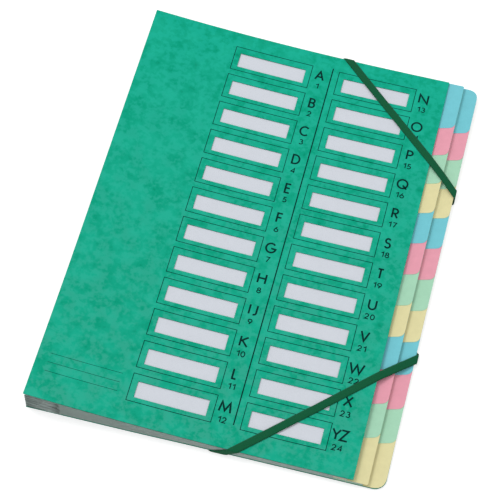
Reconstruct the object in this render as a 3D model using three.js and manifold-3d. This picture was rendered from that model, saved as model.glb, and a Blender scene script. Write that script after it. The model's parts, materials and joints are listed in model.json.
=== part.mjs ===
// Expanding file sorter for A4 papers: two pressboard covers, an accordion spine,
// 24 stepped dividers, a windowed front with a white index sheet behind it, and two
// flat elastics across the fore corners. Millimetres. +X runs from the spine to the
// fore edge, +Y to the top edge, +Z up. It lies closed on its back cover.
import * as THREE from 'three';
import { mergeVertices } from 'three/addons/utils/BufferGeometryUtils.js';
import Module from 'manifold-3d';

const wasm = await Module();
wasm.setup();

// covers
const coverHeight = 320;
const frontWidth = 217.5;
const backWidth = 238.2;
const board = 0.55;
const backCorner = 8;

// lie of the closed wedge
const spineThick = 19.4;
const foreThick = 7.5;
const bendReach = 200;
const bendPower = 2.15;
const liftStart = 70;
const liftEnd = 112;

// windows in the front cover
const rows = 12;
const rowPitch = 24.75;
const windowWide = 48.1;
const windowTall = 11.7;
const windowColumns = [91.4, 167.6];
const firstWindow = 136.9;
const indexSheet = 0.12;
const indexMargin = 6.3;
const indexGap = 0.04;

// accordion spine
const foldOuter = 0.6;
const foldInner = 24;
const strip = 0.12;
const foldWall = 0.3;
const spineInset = 0.6;

// dividers
const leaf = 0.15;
const leafInset = 0.3;
const leafStart = 17;
const leafSkew = 1.3;
const stepSlope = 0.28;
const stepRound = 4;
const firstStep = 120.6;
const topSpace = 0.22;
const spineSpace = 0.15;
const clipSpace = 0.42;
const columns = [
  { edge: 227.9, hidden: 213.5, seen: 217.5, topRound: 1.2, endRound: 1.2 },
  { edge: 238.7, hidden: 224, seen: 228.6, topRound: 7.5, endRound: 9 },
];

// elastics: where each crosses the long edge and the fore edge, and what it lies on
const bandWide = 5.5;
const bandThick = 0.7;
const bandGap = 0.06;
const bandReturn = 9;
const slotPlay = 0.5;
const elastics = [
  { name: 'elastic_upper', side: 1, edgeX: 143.7, foreY: 69.9, overInner: 3, overOuter: 15 },
  { name: 'elastic_lower', side: -1, edgeX: 138.8, foreY: 62.8, overInner: 9, overOuter: 21 },
];
const clipLong = 11;
const clipWide = 3;
const clipThick = 0.33;
const clipGap = 0.02;
const slotGap = 0.01;
const seatGap = 0.02;
const edgeGap = 0.1;
const bandTurns = 3;
const overcut = 2;

const lift = bandThick + bandGap;
const leafHeight = coverHeight - 2 * leafInset;
const longEdge = coverHeight / 2 + edgeGap;
const foreEdge = columns[1].edge + leafSkew / 2 + edgeGap;
const bandOut = bandGap + bandThick;
const middleX = (foreEdge + bandOut) / 2;
const stations = [
  0, foldInner, 40, 56, liftStart, 84, 98, liftEnd, 128, 146, 168, 192, frontWidth, 300,
];

const ease = (t) => {
  const s = Math.min(1, Math.max(0, t));
  return s * s * (3 - 2 * s);
};
const risen = (x) => ease((x - liftStart) / (liftEnd - liftStart));
const backUnder = (x) => lift * risen(x);
const frontTop = (x) =>
  foreThick + (spineThick - foreThick) * Math.max(0, 1 - x / bendReach) ** bendPower;
const packLow = (x) => backUnder(x) + board + spineSpace + (clipSpace - spineSpace) * risen(x);
const packHigh = (x) => frontTop(x) - board - topSpace;

// a height rule read off straight between the stations, so that layers never cross
const settled = (rule) => (x) => {
  let i = 1;
  while (i < stations.length - 1 && stations[i] < x) i += 1;
  const [a, b] = [stations[i - 1], stations[i]];
  return rule(a) + ((rule(b) - rule(a)) * (x - a)) / (b - a);
};
const lowAt = settled(packLow);
const highAt = settled(packHigh);
const topAt = settled(frontTop);
const underAt = settled(backUnder);
const layerAt = (share) => (x) => lowAt(x) + (highAt(x) - lowAt(x)) * share;

function toSolid(geometry) {
  geometry.deleteAttribute('normal');
  geometry.deleteAttribute('uv');
  const welded = mergeVertices(geometry, 1e-4);
  return new wasm.Manifold(new wasm.Mesh({
    numProp: 3,
    vertProperties: Float32Array.from(welded.attributes.position.array),
    triVerts: Uint32Array.from(welded.index.array),
  }));
}

function fromSolid(solid) {
  const mesh = solid.getMesh();
  const geometry = new THREE.BufferGeometry();
  geometry.setAttribute('position', new THREE.BufferAttribute(mesh.vertProperties, 3));
  geometry.setIndex(new THREE.BufferAttribute(mesh.triVerts, 1));
  return geometry;
}

// side view points [x, z] run along Y over a given length
function along(points, length) {
  const shape = new THREE.Shape(points.map(([x, z]) => new THREE.Vector2(x, z)));
  const body = new THREE.ExtrudeGeometry(shape, { depth: length, bevelEnabled: false });
  body.rotateX(Math.PI / 2);
  return body.translate(0, length / 2, 0);
}

// plan outline run up through the whole wedge
function upright(shape) {
  const tall = spineThick + 2 * overcut;
  const body = new THREE.ExtrudeGeometry(shape, {
    depth: tall, bevelEnabled: false, curveSegments: 6,
  });
  return body.translate(0, 0, -overcut);
}

// a sheet between two heights, from one x to another
function sheetProfile(under, over, from, to) {
  const xs = [from, ...stations.filter((x) => x > from + 0.01 && x < to - 0.01), to];
  return [...xs.map((x) => [x, under(x)]), ...xs.reverse().map((x) => [x, over(x)])];
}

function roundedRight(width, height, radius) {
  const shape = new THREE.Shape();
  const h = height / 2;
  shape.moveTo(0, -h);
  shape.lineTo(width - radius, -h);
  shape.absarc(width - radius, -h + radius, radius, -Math.PI / 2, 0);
  shape.absarc(width - radius, h - radius, radius, 0, Math.PI / 2);
  shape.lineTo(0, h);
  shape.closePath();
  return shape;
}

function box(x, y, z, wide, deep, tall) {
  return new THREE.BoxGeometry(wide, deep, tall).translate(x, y, z);
}

// plan of one divider: its tab strip runs from the top edge down to its own step
function dividerPlan(column, row) {
  const h = leafHeight / 2;
  const edgeAt = (y) => column.edge + (leafSkew * y) / leafHeight;
  const shape = new THREE.Shape();
  shape.moveTo(leafStart, -h);
  if (row < rows) {
    const seenY = firstStep - rowPitch * (row - 1);
    const lineAt = (x) => seenY + stepSlope * (x - column.seen);
    const edge = edgeAt(seenY);
    shape.lineTo(column.hidden, -h);
    shape.lineTo(column.hidden, lineAt(column.hidden));
    shape.lineTo(edge - stepRound, lineAt(edge - stepRound));
    const rise = lineAt(edge) + stepRound;
    shape.quadraticCurveTo(edge, lineAt(edge), edgeAt(rise), rise);
  } else {
    const edge = edgeAt(-h);
    shape.lineTo(edge - column.endRound, -h);
    shape.quadraticCurveTo(edge, -h, edgeAt(-h + column.endRound), -h + column.endRound);
  }
  const edge = edgeAt(h);
  shape.lineTo(edgeAt(h - column.topRound), h - column.topRound);
  shape.quadraticCurveTo(edge, h, edge - column.topRound, h);
  shape.lineTo(leafStart, h);
  shape.closePath();
  return shape;
}

function divider(order) {
  const column = columns[order <= rows ? 0 : 1];
  const row = order <= rows ? order : order - rows;
  const mid = layerAt(1 - (order - 0.5) / (2 * rows));
  const reach = column.edge + leafSkew;
  const under = (x) => mid(x) - leaf / 2;
  const over = (x) => mid(x) + leaf / 2;
  const profile = sheetProfile(under, over, leafStart - overcut, reach);
  const body = toSolid(along(profile, leafHeight + 2 * overcut));
  const plan = dividerPlan(column, row);
  return fromSolid(body.intersect(toSolid(upright(plan))));
}

// one strip folded back and forth, with a divider in every fold that opens forward
function accordion() {
  const folds = 2 * rows;
  const [outer, inner] = [foldOuter, foldInner];
  const at = (x, share) => layerAt(share)(x);
  const rightFace = [[outer, at(outer, 0) - strip]];
  const leftFace = [[outer, at(outer, 0)]];
  for (let j = 0; j <= folds; j += 1) {
    const turn = at(inner, j / folds);
    rightFace.push([inner, turn - strip], [inner, turn + strip]);
    leftFace.push([inner - foldWall, turn]);
    if (j < folds) {
      const back = at(outer, (j + 0.5) / folds);
      rightFace.push([outer + foldWall, back]);
      leftFace.push([outer, back - strip], [outer, back + strip]);
    }
  }
  rightFace.push([outer, at(outer, 1) + strip]);
  leftFace.push([outer, at(outer, 1)]);
  return along([...rightFace, ...leftFace.reverse()], coverHeight - 2 * spineInset);
}

function frontCover() {
  const profile = sheetProfile((x) => topAt(x) - board, topAt, 0, frontWidth);
  let body = toSolid(along(profile, coverHeight));
  for (const x of windowColumns) {
    for (let row = 0; row < rows; row += 1) {
      const y = firstWindow - rowPitch * row;
      const hole = box(x, y, spineThick / 2, windowWide, windowTall, 2 * spineThick);
      body = body.subtract(toSolid(hole));
    }
  }
  return fromSolid(body);
}

function indexCard() {
  const from = windowColumns[0] - windowWide / 2 - indexMargin;
  const to = windowColumns[1] + windowWide / 2 + indexMargin;
  const over = (x) => topAt(x) - board - indexGap;
  const tall = rowPitch * (rows - 1) + windowTall + 2 * indexMargin;
  const middleY = firstWindow - (rowPitch * (rows - 1)) / 2;
  return along(sheetProfile((x) => over(x) - indexSheet, over, from, to), tall)
    .translate(0, middleY, 0);
}

// how an elastic runs on the flat: its centre line and its two borders
function bandLine({ edgeX, foreY }) {
  const dx = foreEdge - edgeX;
  const dy = foreY - longEdge;
  const length = Math.hypot(dx, dy);
  const acrossX = (bandWide * length) / Math.abs(dy);
  const acrossY = (bandWide * length) / dx;
  return { drift: dx / Math.abs(dy), acrossX, acrossY };
}

const layerTop = (order, x) => layerAt(1 - (order - 0.5) / (2 * rows))(x) + leaf / 2;

// what the elastic lies on, from the cover's edge over the two columns of tabs
function bandSeat(elastic) {
  const inner = columns[0].edge + leafSkew / 2;
  const corners = [
    [frontWidth, topAt(frontWidth)],
    [inner, layerTop(elastic.overInner, inner) + seatGap],
    [foreEdge, layerTop(elastic.overOuter, foreEdge) + seatGap],
  ];
  return (x) => {
    if (x <= frontWidth) return topAt(x);
    const i = x <= inner ? 1 : 2;
    const [a, b] = [corners[i - 1], corners[i]];
    return a[1] + ((b[1] - a[1]) * (x - a[0])) / (b[0] - a[0]);
  };
}

// a band's turns over one edge: round the upper corner, down the side, round the lower.
// Each gives the way gone, and how far out and how high a face at depth d is.
function wrapSteps(edge, seatAt, fall) {
  const steps = [];
  const corner = (heightAt, from, way) => {
    for (let i = 0; i <= bandTurns; i += 1) {
      const a = from + (Math.PI / 2 / bandTurns) * i;
      steps.push({
        way,
        out: (d) => edge + d * Math.sin(a),
        z: (d, x) => heightAt(x) + d * Math.cos(a),
      });
    }
  };
  corner(seatAt, 0, 0);
  corner(() => lift, Math.PI / 2, fall);
  return steps;
}

function elastic(spec) {
  const { drift, acrossX, acrossY } = bandLine(spec);
  const seat = bandSeat(spec);
  const sections = [];
  const put = (pair) => sections.push([...pair(bandOut), ...pair(bandGap)]);
  const slotTop = lift + board + slotGap;

  // long edge, cut along X: up its slot, under, round the edge, on to the cover
  const pairX = (x, y, z) => (d) =>
    [x - acrossX / 2, x + acrossX / 2].map((px) => [px, spec.side * y(d), z(d, px)]);
  const centreX = (way) => spec.edgeX - drift * way;
  const fall = topAt(spec.edgeX) - lift;
  const slotX = centreX(fall + bandReturn);
  const slotY = longEdge - bandReturn;
  put(pairX(slotX, (d) => slotY - d, () => slotTop));
  put(pairX(slotX, (d) => slotY - d, (d) => lift - d));
  for (const step of wrapSteps(longEdge, topAt, fall).reverse()) {
    put(pairX(centreX(step.way), step.out, step.z));
  }
  put(pairX(centreX(-bandReturn), () => longEdge - bandReturn, (d, x) => topAt(x) + d));

  // across the cover and the tabs to the fore edge, cut along Y
  const pairY = (x, y, z) => (d) =>
    [y - acrossY / 2, y + acrossY / 2].map((py) => [x(d), spec.side * py, z(d)]);
  const centreY = (x) => longEdge - (x - spec.edgeX) / drift;
  const inner = columns[0].edge + leafSkew / 2;
  const clear = centreX(-bandReturn) + acrossX;
  const crossed = stations.filter((x) => x > clear && x <= frontWidth);
  for (const x of [...crossed, inner]) {
    put(pairY(() => x, centreY(x), (d) => seat(x) + d));
  }
  const foreFall = seat(foreEdge) - lift;
  for (const step of wrapSteps(foreEdge, () => seat(foreEdge), foreFall)) {
    put(pairY(step.out, centreY(foreEdge + step.way), step.z));
  }
  const endX = (d) => foreEdge - bandReturn - d;
  const endY = centreY(foreEdge + foreFall + bandReturn);
  put(pairY(endX, endY, (d) => lift - d));
  put(pairY(endX, endY, () => slotTop));

  const index = [];
  const quad = (a, b, c, d) => {
    if (spec.side > 0) index.push(a, c, b, a, d, c);
    else index.push(a, b, c, a, c, d);
  };
  for (let k = 0; k + 1 < sections.length; k += 1) {
    const [s, n] = [4 * k, 4 * k + 4];
    quad(s, s + 1, n + 1, n);
    quad(s + 1, s + 3, n + 3, n + 1);
    quad(s + 3, s + 2, n + 2, n + 3);
    quad(s + 2, s, n, n + 2);
  }
  const last = 4 * (sections.length - 1);
  quad(0, 2, 3, 1);
  quad(last, last + 1, last + 3, last + 2);
  const geometry = new THREE.BufferGeometry();
  geometry.setAttribute('position', new THREE.Float32BufferAttribute(sections.flat(2), 3));
  geometry.setIndex(index);
  return { geometry, slots: slotsOf(slotX, slotY, endY, acrossX, acrossY, spec.side) };
}

// the two slots of an elastic in the back cover: along X, and along Y
function slotsOf(slotX, slotY, endY, acrossX, acrossY, side) {
  const across = bandThick / 2 + bandGap;
  return [
    { x: slotX, y: side * (slotY - across), wide: acrossX, deep: bandThick, turned: false },
    {
      x: foreEdge - bandReturn - across, y: side * endY,
      wide: bandThick, deep: acrossY, turned: true,
    },
  ];
}

function backCover(slots) {
  const top = (x) => underAt(x) + board;
  const profile = sheetProfile(underAt, top, 0, backWidth);
  const plan = upright(roundedRight(backWidth, coverHeight, backCorner));
  let body = toSolid(along(profile, coverHeight + 2 * overcut)).intersect(toSolid(plan));
  for (const slot of slots) {
    const [wide, deep] = [slot.wide + 2 * slotPlay, slot.deep + 2 * slotPlay];
    body = body.subtract(toSolid(box(slot.x, slot.y, lift, wide, deep, 2 * overcut)));
  }
  return fromSolid(body);
}

function clip(slot) {
  const [wide, deep] = slot.turned ? [clipWide, clipLong] : [clipLong, clipWide];
  return box(slot.x, slot.y, lift + board + slotGap + clipGap + clipThick / 2, wide, deep, clipThick);
}

const paper = (colour) => ({ color: colour, roughness: 0.8, metalness: 0 });
const looks = {
  cover: { color: 0x29a888, roughness: 0.35, metalness: 0 },
  card: paper(0xd8dae3),
  accordion: paper(0x7a857f),
  elastic: { color: 0x1b5a35, roughness: 0.85, metalness: 0 },
  clip: { color: 0xb9bcc0, roughness: 0.35, metalness: 1 },
  tabs: [paper(0x73c5d0), paper(0xe49baf), paper(0xa5d7b9), paper(0xded7a5)],
};
const letters = [...'abcdefgh', 'ij', ...'klmnopqrstuvwx', 'yz'];

const sorter = new THREE.Group();
sorter.name = 'expanding_file_sorter';

function add(name, geometry, look) {
  const flat = geometry.index ? geometry.toNonIndexed() : geometry;
  flat.translate(-middleX, 0, 0);
  flat.computeVertexNormals();
  const mesh = new THREE.Mesh(flat, new THREE.MeshStandardMaterial(look));
  mesh.name = name;
  sorter.add(mesh);
}

add('front_cover', frontCover(), looks.cover);
add('index_sheet', indexCard(), looks.card);
const bands = elastics.map((spec) => ({ name: spec.name, ...elastic(spec) }));
const slots = bands.flatMap((band) => band.slots);
add('back_cover', backCover(slots), looks.cover);
add('spine_gusset', accordion(), looks.accordion);
for (let order = 1; order <= 2 * rows; order += 1) {
  const number = String(order).padStart(2, '0');
  const look = looks.tabs[(order - 1) % looks.tabs.length];
  add(`divider_${number}_${letters[order - 1]}`, divider(order), look);
}
for (const band of bands) add(band.name, band.geometry, looks.elastic);
slots.forEach((slot, i) => add(`elastic_clip_${i + 1}`, clip(slot), looks.clip));

export default sorter;
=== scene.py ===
import json
import math
import bmesh
import bpy
from mathutils import Matrix, Vector, noise


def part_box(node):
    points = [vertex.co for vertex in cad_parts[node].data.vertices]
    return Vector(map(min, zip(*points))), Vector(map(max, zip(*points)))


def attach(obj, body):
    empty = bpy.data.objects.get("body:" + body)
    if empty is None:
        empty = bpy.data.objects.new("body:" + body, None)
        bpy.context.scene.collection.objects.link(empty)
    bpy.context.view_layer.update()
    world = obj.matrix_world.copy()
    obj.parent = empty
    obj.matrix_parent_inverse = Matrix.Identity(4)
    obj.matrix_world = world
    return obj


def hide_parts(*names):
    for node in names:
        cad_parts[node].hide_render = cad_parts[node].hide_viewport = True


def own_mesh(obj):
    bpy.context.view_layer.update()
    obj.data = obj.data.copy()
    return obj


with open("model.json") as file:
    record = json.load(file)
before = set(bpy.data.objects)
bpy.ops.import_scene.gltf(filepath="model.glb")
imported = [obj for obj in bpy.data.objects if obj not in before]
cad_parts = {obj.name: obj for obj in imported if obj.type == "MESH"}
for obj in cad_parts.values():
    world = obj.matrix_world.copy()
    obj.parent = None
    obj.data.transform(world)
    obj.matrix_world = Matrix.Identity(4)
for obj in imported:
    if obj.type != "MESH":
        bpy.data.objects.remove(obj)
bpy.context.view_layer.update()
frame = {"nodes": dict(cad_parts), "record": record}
mm = 0.001
nodes = frame["nodes"]

# places that the frame gives
frontLow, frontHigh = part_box("front_cover")
spineX = frontLow.x
bottomY = frontLow.y
coverTall = frontHigh.y - frontLow.y
slots = {entry["node"]: entry["material_slot"] for entry in frame["record"]["subparts"]}

spineLean = {"out": 1.0 * mm, "reachX": 60 * mm, "reachY": 120 * mm, "fade": 1.5}


# the spine's lower corner stands out a little, as in a file that has been handled
def leaned(x, y, look=spineLean):
    fromSpine = max(0.0, 1 - (x - spineX) / look["reachX"])
    fromBottom = max(0.0, 1 - (y - bottomY) / look["reachY"])
    return x - look["out"] * fromSpine * fromBottom ** look["fade"]


def atCover(x, y):
    # x from the spine and y from the lower edge, in millimetres, as a place in the frame
    px, py = spineX + x * mm, bottomY + y * mm
    return leaned(px, py), py


# one output socket, so that shader maths reads as plain sums
class Wire:
    def __init__(self, finish, socket):
        self.finish = finish
        self.socket = socket

    def joined(self, operation, first, second):
        return self.finish.make("ShaderNodeMath", {"operation": operation}, {0: first, 1: second})

    def __add__(self, other):
        return self.joined("ADD", self, other)

    __radd__ = __add__

    def __sub__(self, other):
        return self.joined("SUBTRACT", self, other)

    def __rsub__(self, other):
        return self.joined("SUBTRACT", other, self)

    def __mul__(self, other):
        return self.joined("MULTIPLY", self, other)

    __rmul__ = __mul__

    def sine(self):
        return self.finish.make("ShaderNodeMath", {"operation": "SINE"}, {0: self})

    def size(self):
        return self.finish.make("ShaderNodeMath", {"operation": "ABSOLUTE"}, {0: self})


# a material under construction
class Finish:
    def __init__(self, name, holder=None):
        self.material = holder or bpy.data.materials.new(name)
        self.material.use_nodes = True
        self.tree = self.material.node_tree
        self.shader = self.tree.nodes.get("Principled BSDF")

    def make(self, kind, settings=None, sockets=None, output=0):
        node = self.tree.nodes.new(kind)
        for key, value in (settings or {}).items():
            if key == "stops":
                self.setStops(node.color_ramp, value)
            else:
                setattr(node, key, value)
        for key, value in (sockets or {}).items():
            self.feed(node.inputs[key], value)
        return Wire(self, node.outputs[output])

    def setStops(self, ramp, stops):
        while len(ramp.elements) < len(stops):
            ramp.elements.new(0.5)
        for element, (place, shade) in zip(ramp.elements, stops):
            element.position = place
            element.color = (*shade, 1) if isinstance(shade, tuple) else (shade, shade, shade, 1)

    def feed(self, socket, value):
        if isinstance(value, Wire):
            self.tree.links.new(value.socket, socket)
        elif isinstance(value, tuple) and len(value) == 3 and socket.type == "RGBA":
            socket.default_value = (*value, 1)
        else:
            socket.default_value = value

    def set(self, **sockets):
        for key, value in sockets.items():
            self.feed(self.shader.inputs[key.replace("_", " ")], value)
        return self

    def seen(self):
        # rays of the camera, of reflections and of transmission see the backdrop as white
        path = self.make("ShaderNodeLightPath").socket.node.outputs
        rays = [Wire(self, path[f"Is {kind} Ray"]) for kind in ("Camera", "Glossy", "Transmission")]
        return rays[0] + rays[1] + rays[2]

    def place(self, kind="Object"):
        return self.make("ShaderNodeTexCoord", output=kind)

    def stretched(self, where, scale):
        sockets = {0: where, 1: scale}
        return self.make("ShaderNodeVectorMath", {"operation": "MULTIPLY"}, sockets)

    def cloud(self, where, scale, detail=3.0, rough=0.5, twist=0.0):
        sockets = {"Vector": where, "Scale": scale, "Detail": detail, "Roughness": rough,
                   "Distortion": twist}
        return self.make("ShaderNodeTexNoise", None, sockets)

    def ramp(self, factor, stops, shape="LINEAR"):
        node = self.make("ShaderNodeValToRGB", {"stops": stops}, {0: factor})
        node.socket.node.color_ramp.interpolation = shape
        return node

    def blend(self, factor, first, second, how="MIX"):
        settings = {"data_type": "RGBA", "blend_type": how}
        sockets = {0: factor, 6: first, 7: second}
        return self.make("ShaderNodeMix", settings, sockets, output=2)

    def bump(self, height, strength, distance):
        sockets = {"Height": height, "Strength": strength, "Distance": distance}
        return self.make("ShaderNodeBump", None, sockets)


pressboard = {
    "light": (0.006, 0.428, 0.288),
    # painted sheen: a greyer, redder ground towards the cover's lower edge stands for the gloss seen
    # there
    "paintedSheenLow": (0.034, 0.396, 0.270),
    "deep": (0.001, 0.352, 0.208),
    "dark": (0.000, 0.262, 0.146),
    # painted shade: dark colour for the board's cut edges, standing for the shadow line under the
    # cover's edge
    "edge": (0.010, 0.085, 0.068),
    "patchScale": 116.0,
    "flakeScale": 290.0,
    "deepSpan": (0.44, 0.57),  # where a patch starts and is full
    "darkSpan": (0.57, 0.70),
    "paleSpan": (0.4, 0.64),
    "edgeShadeSpan": (0.15, 0.45),
    "deepShare": 0.95,
    "darkShare": 0.7,
    "paleShare": 0.5,
    "edgeShadeShare": 0.85,
    "paintedSheenFade": 3,  # per metre towards the cover's lower edge, over which the painted sheen grows
    "roughness": 0.46,
    "gloss": 0.04,
}


def makePressboard(name, look):
    finish = Finish(name)
    where = finish.place()
    deepLow, deepHigh = look["deepSpan"]
    darkLow, darkHigh = look["darkSpan"]
    paleLow, paleHigh = look["paleSpan"]
    edgeLow, edgeHigh = look["edgeShadeSpan"]
    patches = finish.cloud(where, look["patchScale"], 4.0, 0.62, 0.4)
    broad = finish.cloud(where, look["patchScale"] * 0.7, 2.0, 0.5)
    flakes = finish.cloud(where, look["flakeScale"], 3.0, 0.6)
    grain = finish.cloud(where, look["flakeScale"] * 9, 2.0, 0.6)
    deepMix = patches * 0.55 + flakes * 0.45
    darkMix = patches * 0.4 + flakes * 0.6
    deepMask = finish.ramp(deepMix, [(deepLow, 0.0), (deepHigh, 1.0)], "EASE")
    darkMask = finish.ramp(darkMix, [(darkLow, 0.0), (darkHigh, 1.0)], "EASE")
    paleMask = finish.ramp(broad * 0.85 + grain * 0.15, [(paleLow, 0.0), (paleHigh, 1.0)])
    along = finish.make("ShaderNodeSeparateXYZ", None, {0: where}, output=1)
    # painted sheen: the ground turns greyer towards the cover's lower edge
    lower = finish.ramp(0.5 - along * look["paintedSheenFade"], [(0.0, 0.0), (1.0, 1.0)])
    groundWithSheen = finish.blend(lower, look["light"], look["paintedSheenLow"])
    body = finish.blend(deepMask * look["deepShare"], groundWithSheen, look["deep"])
    body = finish.blend(darkMask * look["darkShare"], body, look["dark"])
    paler = tuple(c * 1.12 + 0.008 for c in look["light"])
    body = finish.blend(paleMask * look["paleShare"], body, paler)
    relief = grain * 0.35 + flakes * 0.65
    # painted shade: faces that stand sideways, the cut edges and the window walls, take the dark edge
    # colour
    facing = finish.make("ShaderNodeSeparateXYZ", None, {0: finish.place("Normal")}, output=2)
    edgeShadeMask = finish.ramp(facing.size(), [(edgeLow, 1.0), (edgeHigh, 0.0)])
    body = finish.blend(edgeShadeMask * look["edgeShadeShare"], body, look["edge"])
    finish.set(Base_Color=body, Roughness=look["roughness"] - 0.08 * patches + 0.06 * grain,
               Specular_IOR_Level=look["gloss"], Normal=finish.bump(relief, 0.12, 0.00006))
    return finish.material


paperStock = {
    "tab_blue": (0.195, 0.625, 0.710),
    "tab_pink": (0.870, 0.375, 0.465),
    "tab_green": (0.420, 0.740, 0.530),
    "tab_yellow": (0.820, 0.760, 0.415),
    "index_card": (0.672, 0.705, 0.765),
    "gusset": (0.580, 0.690, 0.660),
}

paperLook = {
    "leafBoard": (0.455, 0.550, 0.515),
    "stripStart": 84.0 * mm,
    "stripEdge": 0.5 * mm,
    "pulpScale": 210.0,
    "fuzzScale": 2400.0,
    "fuzzStretch": (1.0, 0.35, 1.0),
    "fuzz": (0.25, 0.24, 0.2),
    "fibre": 0.05,
    "foldScale": 95.0,
    "foldStretch": (1.0, 0.12, 6.0),
    # painted shade between the gusset's folded layers: the darkest streak tone, and the fixed tone of
    # flat-lying faces
    "foldShadeDark": 0.46,
    "foldShadeFlat": (0.86, 0.86, 0.86),
    "speck": 0.06,
    "cardSpeck": 0.03,
    "roughness": 0.78,
    "gloss": 0.12,
}


def makeStock(name, colour, look):
    finish = Finish(name)
    where = finish.place()
    speck = look["cardSpeck"] if name == "index_card" else look["speck"]
    if name.startswith("tab_"):  # grey board, with its colour on the fore strip only
        along = finish.make("ShaderNodeSeparateXYZ", None, {0: where})
        reach = (along - look["stripStart"]) * (1 / look["stripEdge"])
        strip = finish.ramp(reach, [(0.0, 0.0), (1.0, 1.0)])
        colour = finish.blend(strip, look["leafBoard"], colour)
    pulp = finish.cloud(where, look["pulpScale"], 4.0, 0.6)
    fuzz = finish.cloud(finish.stretched(where, look["fuzzStretch"]), look["fuzzScale"], 3.0, 0.6)
    shade = finish.ramp(pulp, [(0.3, 1 - speck), (0.7, 1.0)])
    body = finish.blend(1.0, colour, shade, "MULTIPLY")
    if name == "gusset":  # painted shade: dark streaks on the folds' steep ends stand for the shade between the folded layers; flat-lying faces get one fixed darker tone
        pulled = finish.stretched(where, look["foldStretch"])
        layer = finish.cloud(pulled, look["foldScale"], 3.0, 0.7)
        upright = finish.make("ShaderNodeSeparateXYZ", None, {0: finish.place("Normal")}, output=2)
        flat = finish.ramp(upright.size(), [(0.5, 0.0), (0.95, 1.0)])
        dark = finish.ramp(layer, [(0.42, look["foldShadeDark"]), (0.56, 1.0)])
        dark = finish.blend(flat, dark, look["foldShadeFlat"])
        body = finish.blend(1.0, body, dark, "MULTIPLY")
    thread = finish.ramp(fuzz, [(0.56, 0.0), (0.72, 1.0)])
    body = finish.blend(thread * look["fibre"], body, look["fuzz"])
    finish.set(Base_Color=body, Roughness=look["roughness"] + 0.12 * fuzz,
               Specular_IOR_Level=look["gloss"],
               Normal=finish.bump(fuzz * 0.7 + pulp * 0.3, 0.16, 0.00004))
    return finish.material


elasticLook = {
    "yarn": (0.006, 0.120, 0.048),
    "shade": (0.002, 0.045, 0.018),
    "fuzz": (0.020, 0.185, 0.080),
    "ribs": 9,
    "pickLength": 0.9 * mm,
    "wobbleScale": 900.0,
    "hairScale": 5200.0,
    "roughness": 0.86,
    "gloss": 0.08,
    "sheen": 0.05,
}


def makeElastic(name, look):
    finish = Finish(name)
    uv = finish.make("ShaderNodeUVMap", {"uv_map": "band"})
    split = finish.make("ShaderNodeSeparateXYZ", None, {0: uv})
    across = Wire(finish, split.socket.node.outputs[1])
    wobble = finish.cloud(finish.place(), look["wobbleScale"], 2.0, 0.5)
    ribWave = (across * (look["ribs"] * math.pi)).sine()
    rib = ribWave.size()
    turns = split * (math.pi / look["pickLength"])
    pick = (turns + ribWave * 1.5 + wobble * 2.0).sine().size()
    weave = rib * 0.6 + pick * 0.4
    hair = finish.cloud(finish.place(), look["hairScale"], 3.0, 0.6)
    body = finish.blend(finish.ramp(weave, [(0.1, 0.0), (0.75, 1.0)]), look["shade"], look["yarn"])
    body = finish.blend(finish.ramp(hair, [(0.55, 0.0), (0.75, 1.0)]) * 0.3, body, look["fuzz"])
    finish.set(Base_Color=body, Roughness=look["roughness"] - 0.1 * weave,
               Specular_IOR_Level=look["gloss"], Sheen_Weight=look["sheen"],
               Normal=finish.bump(weave + hair * 0.25, 0.6, 0.00018))
    return finish.material


inkLook = {
    "ink": (0.001, 0.022, 0.019),
    "worn": (0.002, 0.046, 0.038),
    "mottleScale": 1500.0,
    "roughness": 0.6,
    "gloss": 0.04,
}


def makeInk(name, look):
    finish = Finish(name)
    where = finish.place()
    mottle = finish.cloud(where, look["mottleScale"], 3.0, 0.6)
    body = finish.blend(finish.ramp(mottle, [(0.4, 0.0), (0.7, 1.0)]), look["ink"], look["worn"])
    finish.set(Base_Color=body, Roughness=look["roughness"] + 0.15 * mottle,
               Specular_IOR_Level=look["gloss"], Normal=finish.bump(mottle, 0.1, 0.00003))
    return finish.material


steelLook = {
    "dull": (0.42, 0.43, 0.44),
    "bright": (0.62, 0.63, 0.64),
    "brushScale": 900.0,
    "brushStretch": (1.0, 12.0, 1.0),
    "roughness": 0.28,
}


def makeSteel(name, look):
    finish = Finish(name)
    where = finish.stretched(finish.place(), look["brushStretch"])
    brushed = finish.cloud(where, look["brushScale"], 3.0, 0.6)
    body = finish.blend(brushed, look["dull"], look["bright"])
    finish.set(Base_Color=body, Metallic=1.0, Roughness=look["roughness"] + 0.2 * brushed,
               Normal=finish.bump(brushed, 0.15, 0.00003))
    return finish.material


finishes = {name: makeStock(name, colour, paperLook) for name, colour in paperStock.items()}
finishes["cover_front"] = makePressboard("mottledPressboard", pressboard)
finishes["cover_back"] = finishes["cover_front"]
finishes["elastic"] = makeElastic("wovenElastic", elasticLook)
finishes["clip"] = makeSteel("stampedSteel", steelLook)
ink = makeInk("printedInk", inkLook)
print("materials made")


def newPiece(name, mesh, material, body, slot, *stands):
    piece = bpy.data.objects.new(name, mesh)
    bpy.context.scene.collection.objects.link(piece)
    mesh.materials.clear()
    mesh.materials.append(material)
    if stands:
        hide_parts(*stands)
    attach(piece, body)
    return piece


def softEdges(piece, width, segments=2):
    bevel = piece.modifiers.new("edge", "BEVEL")
    bevel.width = width
    bevel.segments = segments
    bevel.limit_method = "ANGLE"
    bevel.angle_limit = math.radians(50)
    bevel.harden_normals = True
    piece.data.shade_smooth()


# the heights of a node's upper face from the spine outwards, as (x, z)
def topProfile(node):
    points = {}
    for vertex in nodes[node].data.vertices:
        x = round(vertex.co.x, 6)
        points[x] = max(points.get(x, -1), vertex.co.z)
    return sorted(points.items())


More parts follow.
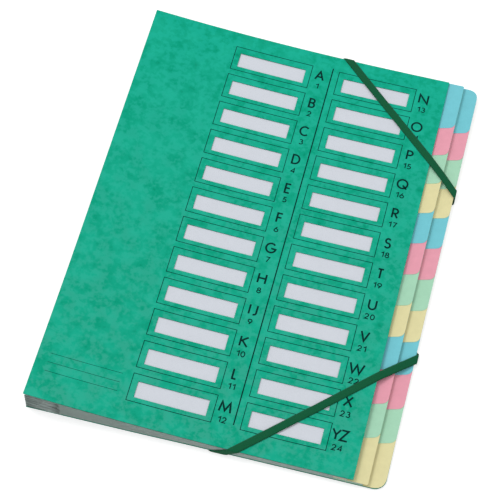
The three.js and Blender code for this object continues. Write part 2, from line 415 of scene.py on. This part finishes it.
# a smooth curve through height points, by cubic pieces
def smoothThrough(points):
    xs = [p[0] for p in points]
    zs = [p[1] for p in points]
    rises = [(zs[i + 1] - zs[i]) / (xs[i + 1] - xs[i]) for i in range(len(xs) - 1)]
    slopes = [rises[0]] + [(a + b) / 2 for a, b in zip(rises, rises[1:])] + [rises[-1]]

    def height(x):
        i = 0
        while i < len(xs) - 2 and xs[i + 1] < x:
            i += 1
        wide = xs[i + 1] - xs[i]
        t = min(1.0, max(0.0, (x - xs[i]) / wide))
        start = (1 + 2 * t) * (1 - t) ** 2 * zs[i] + t * (1 - t) ** 2 * wide * slopes[i]
        end = t * t * (3 - 2 * t) * zs[i + 1] - t * t * (1 - t) * wide * slopes[i + 1]
        return start + end

    return height


outlinePoints = [p for p in topProfile("front_cover") if p[1] > 0]
coverTop = smoothThrough(outlinePoints)

frontPrint = {
    "windowColumns": (67.35, 143.55),  # left edges
    "windowWide": 48.1,
    "windowTall": 11.7,
    "firstWindowTop": 302.75,
    "pitch": 24.75,
    "rows": 12,
    "frameMargins": (4.3, 3.3, 4.2, 5.0),  # left, below, right, above
    "frameLine": 0.46,
    "dividingLine": (134.35, 17.5, 309.5, 0.8),  # x, from, to, width
    "letterAxes": (126.3, 202.5),
    "capTall": 8.5,
    "capWide": 0.9,
    "capStroke": 1.28,
    "letterRise": 5.45,  # baseline above the window's lower edge
    "figureTall": 4.5,
    "figureWide": 1.18,
    "figureStroke": 0.74,
    "figureGap": 1.45,
    "figureDrop": 1.95,
    "letterGap": 0.4,
    "pairGap": 2.1,  # between I and J
    "letters": "A B C D E F G H IJ K L M N O P Q R S T U V W X YZ".split(),
    "titleLines": (8.0, 56.0, (33.0, 26.5, 20.0), 0.25),  # from, to, heights, width
    "lift": 0.035,
    "strokeStep": 3.5,
    "mitreReach": 2.4,
}


def windowEdges(look):
    spans = []
    for column in look["windowColumns"]:
        for row in range(look["rows"]):
            top = look["firstWindowTop"] - look["pitch"] * row
            spans.append((column, column + look["windowWide"], top - look["windowTall"], top))
    return spans


# a sorted list of values, with more between those that lie far apart
def filled(values, step):
    ordered = sorted(set(round(v, 4) for v in values))
    out = [ordered[0]]
    for a, b in zip(ordered, ordered[1:]):
        parts = max(1, math.ceil((b - a) / step))
        out += [a + (b - a) * i / parts for i in range(1, parts + 1)]
    return out


frontBoard = {"thickness": 0.55, "cell": 7.0, "edgeRound": 0.11}


# the front cover: one curved board with its windows cut through
def makeFrontBoard(look, prints):
    windows = windowEdges(prints)
    wide = (frontHigh.x - frontLow.x) / mm
    tall = coverTall / mm
    xs = filled([0, wide] + [w[0] for w in windows] + [w[1] for w in windows], look["cell"])
    ys = filled([0, tall] + [w[2] for w in windows] + [w[3] for w in windows], look["cell"] * 2)

    def inWindow(i, j):
        x = (xs[i] + xs[i + 1]) / 2
        y = (ys[j] + ys[j + 1]) / 2
        return any(w[0] < x < w[1] and w[2] < y < w[3] for w in windows)

    bm = bmesh.new()
    sheets = []
    for depth in (0.0, look["thickness"] * mm):
        rows = []
        for x in xs:
            row = []
            for y in ys:
                px, py = atCover(x, y)
                row.append(bm.verts.new((px, py, coverTop(spineX + x * mm) - depth)))
            rows.append(row)
        sheets.append(rows)
    top, under = sheets
    for i in range(len(xs) - 1):
        for j in range(len(ys) - 1):
            if inWindow(i, j):
                continue
            corners = [(i, j), (i + 1, j), (i + 1, j + 1), (i, j + 1)]
            bm.faces.new([top[a][b] for a, b in corners])
            bm.faces.new([under[a][b] for a, b in reversed(corners)])
            for k, (di, dj) in enumerate(((0, -1), (1, 0), (0, 1), (-1, 0))):
                ni, nj = i + di, j + dj
                inside = 0 <= ni < len(xs) - 1 and 0 <= nj < len(ys) - 1
                if inside and not inWindow(ni, nj):
                    continue
                a, b = corners[k], corners[(k + 1) % 4]
                wall = [top[b[0]][b[1]], top[a[0]][a[1]], under[a[0]][a[1]], under[b[0]][b[1]]]
                bm.faces.new(wall)
    loose = [v for v in bm.verts if not v.link_faces]
    bmesh.ops.delete(bm, geom=loose, context="VERTS")
    mesh = bpy.data.meshes.new("frontBoard")
    bm.to_mesh(mesh)
    bm.free()
    piece = newPiece("front_board", mesh, finishes["cover_front"], "front", "cover_front",
                     "front_cover")
    softEdges(piece, look["edgeRound"] * mm)


makeFrontBoard(frontBoard, frontPrint)
print("front board made")


def arc(cx, cy, rx, ry, start, end, steps=14):
    points = []
    for i in range(steps + 1):
        a = math.radians(start + (end - start) * i / steps)
        points.append((cx + rx * math.cos(a), cy + ry * math.sin(a)))
    return points


# strokes of plain index lettering, in a box one wide and one tall
glyphs = {
    "A": (0.88, [[(0, 0), (0.5, 1), (1, 0)], [(0.17, 0.34), (0.83, 0.34)]]),
    "B": (0.56, [[(0, 0.53), (0, 1)] + arc(0.45, 0.765, 0.47, 0.235, 90, -90) + [(0, 0.53)],
                 [(0, 0.53)] + arc(0.5, 0.265, 0.5, 0.265, 90, -90) + [(0, 0), (0, 0.53)]]),
    "C": (0.84, [arc(0.58, 0.5, 0.58, 0.5, 46, 314, 22)]),
    "D": (0.74, [[(0, 0), (0, 1)] + arc(0.34, 0.5, 0.66, 0.5, 90, -90, 18) + [(0, 0)]]),
    "E": (0.5, [[(1, 0), (0, 0), (0, 1), (1, 1)], [(0, 0.53), (0.92, 0.53)]]),
    "F": (0.5, [[(0, 0), (0, 1), (1, 1)], [(0, 0.53), (0.92, 0.53)]]),
    "G": (1.0, [arc(0.52, 0.5, 0.52, 0.5, 46, 352, 24) + [(0.55, 0.46)]]),
    "H": (0.78, [[(0, 0), (0, 1)], [(1, 0), (1, 1)], [(0, 0.53), (1, 0.53)]]),
    "I": (0.02, [[(0, 0), (0, 1)]]),
    "J": (0.42, [[(1, 1), (1, 0.26)] + arc(0.42, 0.26, 0.58, 0.26, 0, -110, 10)]),
    "K": (0.78, [[(0, 0), (0, 1)], [(0.94, 1), (0.04, 0.5)], [(0.22, 0.6), (1, 0)]]),
    "L": (0.38, [[(0, 1), (0, 0), (1, 0)]]),
    "M": (1.16, [[(0, 0), (0.14, 1), (0.5, 0.14), (0.86, 1), (1, 0)]]),
    "N": (0.92, [[(0, 0), (0, 1), (1, 0), (1, 1)]]),
    "O": (1.08, [arc(0.5, 0.5, 0.5, 0.5, 90, 450, 30)]),
    "P": (0.56, [[(0, 0), (0, 1)] + arc(0.45, 0.74, 0.55, 0.26, 90, -90) + [(0, 0.48)]]),
    "Q": (1.08, [arc(0.5, 0.5, 0.5, 0.5, 90, 450, 30), [(0.55, 0.36), (0.98, -0.03)]]),
    "R": (0.58, [[(0, 0), (0, 1)] + arc(0.45, 0.74, 0.5, 0.26, 90, -90) + [(0, 0.48)],
                 [(0.42, 0.48), (1, 0)]]),
    "S": (0.56, [arc(0.5, 0.755, 0.44, 0.245, 30, 250, 14)
                 + arc(0.5, 0.26, 0.5, 0.26, 75, -150, 16)]),
    "T": (0.58, [[(0, 1), (1, 1)], [(0.5, 1), (0.5, 0)]]),
    "U": (0.74, [[(0, 1), (0, 0.36)] + arc(0.5, 0.36, 0.5, 0.36, 180, 360, 18) + [(1, 1)]]),
    "V": (0.84, [[(0, 1), (0.5, 0), (1, 1)]]),
    "W": (1.46, [[(0, 1), (0.26, 0), (0.5, 0.86), (0.74, 0), (1, 1)]]),
    "X": (0.82, [[(0, 0), (0.94, 1)], [(0.06, 1), (1, 0)]]),
    "Y": (0.8, [[(0, 1), (0.5, 0.46), (1, 1)], [(0.5, 0.46), (0.5, 0)]]),
    "Z": (0.74, [[(0.04, 1), (0.96, 1), (0, 0), (1, 0)]]),
    "0": (0.56, [arc(0.5, 0.5, 0.5, 0.5, 90, 450, 22)]),
    "1": (0.32, [[(0, 0.78), (1, 1), (1, 0)]]),
    "2": (0.54, [arc(0.48, 0.71, 0.46, 0.29, 172, -38, 14) + [(0, 0), (1, 0)]]),
    "3": (0.54, [arc(0.45, 0.76, 0.42, 0.24, 150, -90, 12), arc(0.45, 0.27, 0.52, 0.27, 90, -150, 14)]),
    "4": (0.6, [[(0.76, 0), (0.76, 1), (0, 0.26), (1, 0.26)]]),
    "5": (0.52, [[(0.92, 1), (0.24, 1), (0.14, 0.56)] + arc(0.42, 0.31, 0.56, 0.31, 112, -142, 14)]),
    "6": (0.58, [arc(0.5, 0.3, 0.5, 0.3, 90, 450, 20), [(0.09, 0.46), (0.66, 1)]]),
    "7": (0.54, [[(0, 1), (1, 1), (0.3, 0)]]),
    "8": (0.54, [arc(0.5, 0.77, 0.4, 0.23, 90, 450, 18), arc(0.5, 0.27, 0.5, 0.27, 90, 450, 18)]),
    "9": (0.58, [arc(0.5, 0.7, 0.5, 0.3, 90, 450, 20), [(0.91, 0.54), (0.34, 0)]]),
}


# flat strokes laid just above the front board, following its curve
class PrintSheet:
    def __init__(self, look):
        self.bm = bmesh.new()
        self.look = look
        self.lift = look["lift"] * mm

    def point(self, x, y):
        px, py = atCover(x, y)
        return self.bm.verts.new((px, py, coverTop(spineX + x * mm) + self.lift))

    def stroke(self, points, width):
        points = self.eased(points, self.look["strokeStep"])
        closed = math.dist(points[0], points[-1]) < 1e-6
        pairs = []
        for i, (x, y) in enumerate(points):
            before = points[i - 1] if i else (points[-2] if closed else None)
            after = points[i + 1] if i + 1 < len(points) else (points[1] if closed else None)
            first = self.across(before, (x, y)) if before else None
            second = self.across((x, y), after) if after else None
            n = self.mitre(first or second, second or first)
            half = width / 2
            pairs.append((self.point(x + n[0] * half, y + n[1] * half),
                          self.point(x - n[0] * half, y - n[1] * half)))
        for (a, b), (c, d) in zip(pairs, pairs[1:]):
            self.bm.faces.new((a, b, d, c))

    def eased(self, points, step):
        out = [points[0]]
        for a, b in zip(points, points[1:]):
            length = math.dist(a, b)
            if length < 1e-6:
                continue
            parts = max(1, math.ceil(length / step))
            out += [(a[0] + (b[0] - a[0]) * k / parts, a[1] + (b[1] - a[1]) * k / parts)
                    for k in range(1, parts + 1)]
        return out

    def across(self, a, b):
        length = math.dist(a, b)
        return (-(b[1] - a[1]) / length, (b[0] - a[0]) / length)

    def mitre(self, n, m):
        sx, sy = n[0] + m[0], n[1] + m[1]
        length = math.hypot(sx, sy)
        if length < 0.2:
            return m
        reach = min(self.look["mitreReach"], 2 / length)
        return (sx / length * reach, sy / length * reach)

    def text(self, words, middle, base, tall, stroke, gap, wideness):
        inner = tall - stroke
        widths = [glyphs[c][0] * inner * wideness for c in words]
        x = middle - (sum(widths) + gap * (len(words) - 1)) / 2
        for c, wide in zip(words, widths):
            for path in glyphs[c][1]:
                placed = [(x + p[0] * wide, base + stroke / 2 + p[1] * inner) for p in path]
                self.stroke(placed, stroke)
            x += wide + gap

    def finished(self, name):
        bmesh.ops.recalc_face_normals(self.bm, faces=self.bm.faces)
        for face in self.bm.faces:
            if face.normal.z < 0:
                face.normal_flip()
        mesh = bpy.data.meshes.new(name)
        self.bm.to_mesh(mesh)
        self.bm.free()
        return newPiece(name, mesh, ink, "front", "cover_front")


def printFront(look):
    frames = PrintSheet(look)
    left, below, right, above = look["frameMargins"]
    for x0, x1, y0, y1 in windowEdges(look):
        a, b, c, d = x0 - left, x1 + right, y0 - below, y1 + above
        frames.stroke([(a, c), (b, c), (b, d), (a, d), (a, c)], look["frameLine"])
    frames.finished("window_frame_lines")
    rule = PrintSheet(look)
    x, start, end, width = look["dividingLine"]
    rule.stroke([(x, start), (x, end)], width)
    rule.finished("column_rule")
    lines = PrintSheet(look)
    start, end, heights, width = look["titleLines"]
    for y in heights:
        lines.stroke([(start, y), (end, y)], width)
    lines.finished("title_rules")
    for order, words in enumerate(look["letters"], 1):
        column, row = divmod(order - 1, look["rows"])
        axis = look["letterAxes"][column]
        sill = look["firstWindowTop"] - look["pitch"] * row - look["windowTall"]
        sheet = PrintSheet(look)
        base = sill + look["letterRise"]
        gap = look["pairGap"] if words == "IJ" else look["letterGap"]
        sheet.text(words, axis, base, look["capTall"], look["capStroke"], gap, look["capWide"])
        figureBase = sill - look["figureDrop"]
        sheet.text(str(order), axis, figureBase, look["figureTall"], look["figureStroke"],
                   look["figureGap"], look["figureWide"])
        sheet.finished(f"index_mark_{order:02d}")


printFront(frontPrint)
print("front printed")


# a node's mesh as a new piece, cut along the given lines and laid anew
def copied(name, node, material, body, slot, lines, place):
    bm = bmesh.new()
    bm.from_mesh(nodes[node].data)
    for axis, values in lines.items():
        for value in values:
            point = Vector((0, 0, 0))
            point[axis] = value
            normal = Vector((0, 0, 0))
            normal[axis] = 1
            everything = list(bm.verts) + list(bm.edges) + list(bm.faces)
            bmesh.ops.bisect_plane(bm, geom=everything, dist=1e-6, plane_co=point, plane_no=normal)
    for vertex in bm.verts:
        vertex.co = place(vertex.co)
    mesh = bpy.data.meshes.new(name)
    bm.to_mesh(mesh)
    bm.free()
    return newPiece(name, mesh, material, body, slot, node)


leafLie = {
    "shiftX": 0.12 * mm,
    "shiftY": 0.13 * mm,
    "turn": 0.0006,
    "longer": 0.15 * mm,
    "endY": 150 * mm,  # points beyond it belong to a leaf's upper or lower edge
    "slack": 0.8 * mm,
    "slackFade": (0.1, 1.15, 8.0),  # least share, share at the middle, fall per metre of x
    "stepShift": (-0.7, 0.5, 0.8, 0.8, 0.5, 0.1, 0.1, 0.4, 0.2, -0.9, -1.2, 0),  # mm, row by row
}


# each divider lies a little off its neighbours
def layLeaves(look):
    least, middle, fall = look["slackFade"]
    endY = look["endY"]
    leaves = [node for node in nodes if node.startswith("divider_")]
    for node in leaves:
        order = int(node.split("_")[1])
        draw = [noise.noise(Vector((order * 3.71, k * 5.3, 1.7))) for k in (1, 2, 3)]
        back = -look["shiftX"] * abs(draw[0])
        along = look["shiftY"] * draw[1]
        turn = look["turn"] * draw[2]
        down = look["slack"] * (1 - order / len(leaves))  # a dark gap shows under the front cover
        step = look["stepShift"][(order - 1) % len(look["stepShift"])] * mm

        def place(co, back=back, along=along, turn=turn, down=down, step=step):
            atEnd = abs(co.y) >= endY
            shift = along + turn * co.x + math.copysign(look["longer"], co.y) if atEnd else step
            hang = down * min(1.0, max(least, middle - fall * co.x))
            return Vector((co.x + back, co.y + shift, co.z - hang))

        copied(f"leaf_{order:02d}", node, finishes[slots[node]], "file", slots[node], {}, place)


layLeaves(leafLie)

backBoard = {"spineInset": 0.5 * mm, "cutsX": (12 * mm, 5), "cutsY": (20 * mm, 6)}


# the back cover, cut into strips near the spine so that its corner can lean out
def layBackBoard(look):
    (stepX, countX), (stepY, countY) = look["cutsX"], look["cutsY"]
    lines = {0: [spineX + k * stepX for k in range(1, countX + 1)],
             1: [bottomY + k * stepY for k in range(1, countY + 1)]}
    start = spineX + look["spineInset"]
    copied("back_board", "back_cover", finishes["cover_back"], "file", "cover_back", lines,
           lambda co: Vector((leaned(max(co.x, start), co.y), co.y, co.z)))


layBackBoard(backBoard)
print("leaves and back board laid")

gusset = {
    "folds": 24,
    "paper": 0.36 * mm,
    "splay": 0.1 * mm,
    "reach": 0.25 * mm,
    "bunch": 0.8,
    "bunchOf": 4,
    "inset": 0.1 * mm,
    "steps": 28,
    "slack": 0.9 * mm,
    "innerReach": 5.0 * mm,
}


# one paper strip folded back and forth; its outer folds lie in loose bunches
def makeGusset(look):
    low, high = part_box("spine_gusset")
    points = [v.co for v in nodes["spine_gusset"].data.vertices]
    ends = {}
    for key, x in (("outer", low.x), ("inner", high.x)):
        heights = [p.z for p in points if abs(p.x - x) < 1e-5]
        ends[key] = (min(heights) + look["paper"] / 2, max(heights) - look["slack"])
    folds, paper = look["folds"], look["paper"]
    tall = coverTall / 2 - look["inset"]

    def height(end, share):
        a, b = ends[end]
        return a + (b - a) * share

    bm = bmesh.new()
    rows = []
    for k in range(look["steps"] + 1):
        y = -tall + 2 * tall * k / look["steps"]
        spots = [(high.x, height("inner", 0.0))]
        for j in range(folds):
            drift = noise.noise(Vector((j * 0.9, y * 14, 4.2)))
            bunch = look["bunch"] * math.sin(2 * math.pi * j / look["bunchOf"] + 2 * drift)
            tip = low.x + look["reach"] * (0.5 + noise.noise(Vector((j * 2.3, y * 22, 9.1))))
            spots.append((tip, height("outer", (j + 0.5 + bunch) / folds)))
            deep = look["innerReach"] * abs(noise.noise(Vector((j * 1.7, 3.3, 0.5))))
            spots.append((high.x - deep, height("inner", (j + 1.0) / folds)))
        row = []
        for side in (1, -1):
            for x, z in spots:
                place = (leaned(x + side * look["splay"], y), y, z + side * paper / 2)
                row.append(bm.verts.new(place))
        count = len(spots)
        rows.append(row[:count] + row[count:][::-1])
    for near, far in zip(rows, rows[1:]):
        for i in range(len(near)):
            n = (i + 1) % len(near)
            bm.faces.new((near[i], near[n], far[n], far[i]))
    count = len(rows[0]) // 2
    for row in (rows[0], rows[-1]):
        for i in range(count - 1):
            bm.faces.new((row[i], row[i + 1], row[-i - 2], row[-i - 1]))
    bmesh.ops.recalc_face_normals(bm, faces=bm.faces)
    mesh = bpy.data.meshes.new("gussetStrip")
    bm.to_mesh(mesh)
    bm.free()
    newPiece("gusset_strip", mesh, finishes["gusset"], "file", "gusset", "spine_gusset")


makeGusset(gusset)
print("gusset folded")


band = {
    "wide": 5.5,
    "thick": 0.7,
    "gap": 0.06,
    "backReturn": 9.0,
    "innerTabs": 11.05,  # how far the inner tabs stand out from the front cover
    "seatGaps": (0.04, 0.07),
    "slotGap": 0.01,
    "facets": 8,
    "squareness": 6,
    "turnSteps": 7,
    "parts": (0.33, 0.66),  # of a straight stretch, where it has sections of its own
    "inward": (3.0, 6.0, 9.0),
    "spacing": 5.0,
    "pastCover": 5.5,
    "cornerRoom": 1.1,  # of the band's width along the edge
    "coverRoom": 2.0,
    "upper": {"side": 1, "edgeX": 143.7, "foreY": 69.9, "tabs": ("divider_03_c", "divider_15_p")},
    "lower": {"side": -1, "edgeX": 138.8, "foreY": 62.8, "tabs": ("divider_09_ij", "divider_21_v"),
              "flare": 4.4},
}


# a band's stretched way: out of its slot, round the edge, over the corner and back in
def bandWay(name, look, spec):
    low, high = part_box(name)
    gap, thick = look["gap"] * mm, look["thick"] * mm
    outside = gap + thick
    sign = spec["side"]
    longEdge = (high.y if sign > 0 else -low.y) - outside
    foreEdge = high.x - outside
    lift = outside  # the seat's height under the back cover
    edgeX = spineX + spec["edgeX"] * mm
    foreY = spec["foreY"] * mm
    dx, dy = foreEdge - edgeX, longEdge - foreY
    length = math.hypot(dx, dy)
    drift = dx / dy
    acrossX = look["wide"] * mm * length / dy
    acrossY = look["wide"] * mm * length / dx
    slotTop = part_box("back_cover")[1].z + look["slotGap"] * mm
    back = look["backReturn"] * mm
    coverEdge = frontHigh.x
    sections = []

    def seat(x):
        if x <= coverEdge:
            return coverTop(x)
        corners = spec["seats"]
        i = 1 if x <= corners[1][0] else 2
        (xa, za), (xb, zb) = corners[i - 1], corners[i]
        return za + (zb - za) * (x - xa) / (xb - xa)

    def put(left, right):
        sections.append((left, right))

    # a section's two ends, each giving its place at a depth d off the seat
    def cutX(x, out, z, spread=0.0):
        return [lambda d, px=px: Vector((px, sign * out(d), z(d, px)))
                for px in (x - acrossX / 2 - spread, x + acrossX / 2)]

    def cutY(xOf, y, z):
        return [lambda d, py=py: Vector((xOf(d), sign * py, z(d)))
                for py in (y - acrossY / 2, y + acrossY / 2)]

    # a quarter turn round an edge, as way gone, place outwards and height
    def turns(edge, heightAt, start, way):
        for i in range(look["turnSteps"] + 1):
            a = start + math.pi / 2 * i / look["turnSteps"]
            yield (way, lambda d, a=a: edge + d * math.sin(a),
                   lambda d, x=0.0, a=a: heightAt(x) + d * math.cos(a))

    def middleX(way):
        return edgeX - drift * way

    def middleY(x):
        return longEdge - (x - edgeX) / drift

    fall = coverTop(edgeX) - lift
    slotX = middleX(fall + back)
    slotY = longEdge - back
    put(*cutX(slotX, lambda d: slotY - d, lambda d, px: slotTop))
    put(*cutX(slotX, lambda d: slotY - d, lambda d, px: lift - d))
    for part in reversed(look["parts"]):
        put(*cutX(middleX(fall + back * part), lambda d, p=part: longEdge - back * p,
                  lambda d, px: lift - d))
    wrap = list(turns(longEdge, coverTop, 0, 0)) + [
        (fall * part, lambda d: longEdge + d, lambda d, px=0, p=part: coverTop(edgeX) - fall * p)
        for part in look["parts"]] + list(turns(longEdge, lambda x: lift, math.pi / 2, fall))
    flare = spec.get("flare", 0.0) * mm
    for way, out, z in reversed(wrap):
        put(*cutX(middleX(way), out, z, flare * way / fall))
    for inward in look["inward"]:
        put(*cutX(middleX(-inward * mm), lambda d, i=inward: longEdge - i * mm,
                  lambda d, px: coverTop(px) + d))
    x = middleX(-back) + acrossX * look["cornerRoom"]
    while x < coverEdge - look["coverRoom"] * mm:
        put(*cutY(lambda d, x=x: x, middleY(x), lambda d, x=x: coverTop(x) + d))
        x += look["spacing"] * mm
    innerX = spec["seats"][1][0]
    pastCover = coverEdge + look["pastCover"] * mm
    for x in (coverEdge, pastCover, innerX, innerX + look["spacing"] * mm):
        put(*cutY(lambda d, x=x: x, middleY(x), lambda d, x=x: seat(x) + d))
    seatEnd = seat(foreEdge)
    for way, out, z in turns(foreEdge, lambda x: seatEnd, 0, 0):
        put(*cutY(out, middleY(foreEdge + way), lambda d, z=z: z(d)))
    foreFall = seatEnd - lift
    for way, out, z in turns(foreEdge, lambda x: lift, math.pi / 2, foreFall):
        put(*cutY(out, middleY(foreEdge + way), lambda d, z=z: z(d)))
    endY = middleY(foreEdge + foreFall + back)
    put(*cutY(lambda d: foreEdge - back - d, endY, lambda d: lift - d))
    put(*cutY(lambda d: foreEdge - back - d, endY, lambda d: slotTop))
    return sections


# the rounded flat section that runs along the band's way
def bandSection(look):
    rim = []
    for k in range(look["facets"] + 1):
        s = -1 + 2 * k / look["facets"]
        rim.append((s, 0.5 * (1 - abs(s) ** look["squareness"]) ** 0.5 if abs(s) < 1 else 0.0))
    return rim + [(s, -h) for s, h in reversed(rim[1:-1])]


def bandMesh(name, look, sections):
    gap, thick = look["gap"] * mm, look["thick"] * mm
    loop = bandSection(look)
    bm = bmesh.new()
    uvs = bm.loops.layers.uv.new("band")
    rings, gone, last = [], 0.0, None
    middle = gap + thick / 2
    for left, right in sections:
        centre = (left(middle) + right(middle)) / 2
        gone += (centre - last).length if last is not None else 0.0
        last = centre
        ring = []
        for s, h in loop:
            depth = middle + h * thick
            a, b = left(depth), right(depth)
            ring.append((bm.verts.new(a.lerp(b, (s + 1) / 2)), gone, (s + 1) / 2))
        rings.append(ring)
    for near, far in zip(rings, rings[1:]):
        for k in range(len(loop)):
            n = (k + 1) % len(loop)
            corners = [near[k], near[n], far[n], far[k]]
            face = bm.faces.new([c[0] for c in corners])
            for corner, ends in zip(face.loops, corners):
                corner[uvs].uv = (ends[1], ends[2])
    for ring in (rings[0], rings[-1]):
        bm.faces.new([c[0] for c in ring])
    bmesh.ops.recalc_face_normals(bm, faces=bm.faces)
    mesh = bpy.data.meshes.new(name)
    bm.to_mesh(mesh)
    bm.free()
    mesh.shade_smooth()
    return mesh


# the upper face's height of a flat-lying node near the frame's x
def nodeTopAt(node, x):
    points = topProfile(node)
    for (xa, za), (xb, zb) in zip(points, points[1:]):
        if xa <= x <= xb:
            return za + (zb - za) * (x - xa) / (xb - xa)
    return points[-1][1]


def makeBands(look):
    innerGap, outerGap = (gap * mm for gap in look["seatGaps"])
    for which in ("upper", "lower"):
        spec = look[which]
        name = f"elastic_{which}"
        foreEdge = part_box(name)[1].x - (look["gap"] + look["thick"]) * mm
        inner, outer = spec["tabs"]
        innerX = frontHigh.x + look["innerTabs"] * mm
        spec["seats"] = [(frontHigh.x, coverTop(frontHigh.x)),
                         (innerX, nodeTopAt(inner, innerX) + innerGap),
                         (foreEdge, nodeTopAt(outer, foreEdge) + outerGap)]
        mesh = bandMesh(name, look, bandWay(name, look, spec))
        piece = newPiece(f"woven_band_{which}", mesh, finishes["elastic"], "file", "elastic", name)
        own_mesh(piece)


makeBands(band)
print("elastics made")


def dressNodes():
    for name, node in nodes.items():
        if node.hide_render:
            continue
        material = finishes[slots[name]]
        if not node.data.materials:
            node.data.materials.append(material)
        for i in range(len(node.material_slots)):
            node.material_slots[i].material = material


dressNodes()
print("nodes dressed")

stageLook = {"size": 6.0, "level": 0.62, "glow": 0.6, "roughness": 0.9, "gloss": 0.1}


def makeStage(look):
    bpy.ops.mesh.primitive_plane_add(size=look["size"], location=(0, 0, 0))
    floor = bpy.context.object
    floor.name = "floor"
    finish = Finish("paleFloor")
    finish.set(Base_Color=(look["level"],) * 3, Roughness=look["roughness"],
               Specular_IOR_Level=look["gloss"])
    plain = Wire(finish, finish.shader.outputs[0])
    glow = finish.make("ShaderNodeEmission", None, {"Strength": look["glow"]})
    lit = finish.make("ShaderNodeAddShader", None, {0: plain, 1: glow})
    both = finish.make("ShaderNodeMixShader", None, {0: finish.seen(), 1: plain, 2: lit})
    finish.tree.links.new(both.socket, finish.tree.nodes["Material Output"].inputs["Surface"])
    floor.data.materials.append(finish.material)


lightLook = {
    "world": 0.745,
    "key": {"place": (-1.4, 0.5, 2.1), "size": 0.8, "power": 19.0},
}


def makeLights(look):
    scene = bpy.context.scene
    world = bpy.data.worlds.new("studio")
    scene.world = world
    world.use_nodes = True
    air = Finish("studio", world)
    sky = Wire(air, air.tree.nodes["Background"].outputs[0])
    air.feed(air.tree.nodes["Background"].inputs["Color"], (1.0, 1.0, 1.0))
    air.feed(air.tree.nodes["Background"].inputs["Strength"], look["world"])
    white = air.make("ShaderNodeBackground", None, {"Color": (1.0, 1.0, 1.0), "Strength": 1.0})
    both = air.make("ShaderNodeMixShader", None, {0: air.seen(), 1: sky, 2: white})
    air.tree.links.new(both.socket, air.tree.nodes["World Output"].inputs["Surface"])
    key = bpy.data.lights.new("keyLight", "AREA")
    key.size = look["key"]["size"]
    key.energy = look["key"]["power"]
    lamp = bpy.data.objects.new("keyLight", key)
    lamp.location = look["key"]["place"]
    lamp.rotation_mode = "QUATERNION"
    lamp.rotation_quaternion = (-Vector(look["key"]["place"])).to_track_quat("-Z", "Y")
    scene.collection.objects.link(lamp)


cameraLook = {
    "place": (0.12991, -0.66455, 1.13738),
    "target": (-0.00723, -0.01241, 0.008),
    "roll": 2.509,
    "lens": 138.97,
    "sensor": 36,
    "near": 0.05,
    "far": 50,
}


def makeCamera(look):
    camera = bpy.data.cameras.new("camera")
    camera.lens = look["lens"]
    camera.sensor_width = look["sensor"]
    camera.clip_start = look["near"]
    camera.clip_end = look["far"]
    eye = bpy.data.objects.new("camera", camera)
    place, target = Vector(look["place"]), Vector(look["target"])
    turn = (target - place).to_track_quat("-Z", "Y").to_matrix()
    turn = turn @ Matrix.Rotation(math.radians(look["roll"]), 3, "Z")
    eye.matrix_world = Matrix.Translation(place) @ turn.to_4x4()
    bpy.context.scene.collection.objects.link(eye)
    bpy.context.scene.camera = eye
    bpy.context.scene.view_settings.view_transform = "Standard"


makeStage(stageLook)
makeLights(lightLook)
makeCamera(cameraLook)
print("stage, lights and camera made")
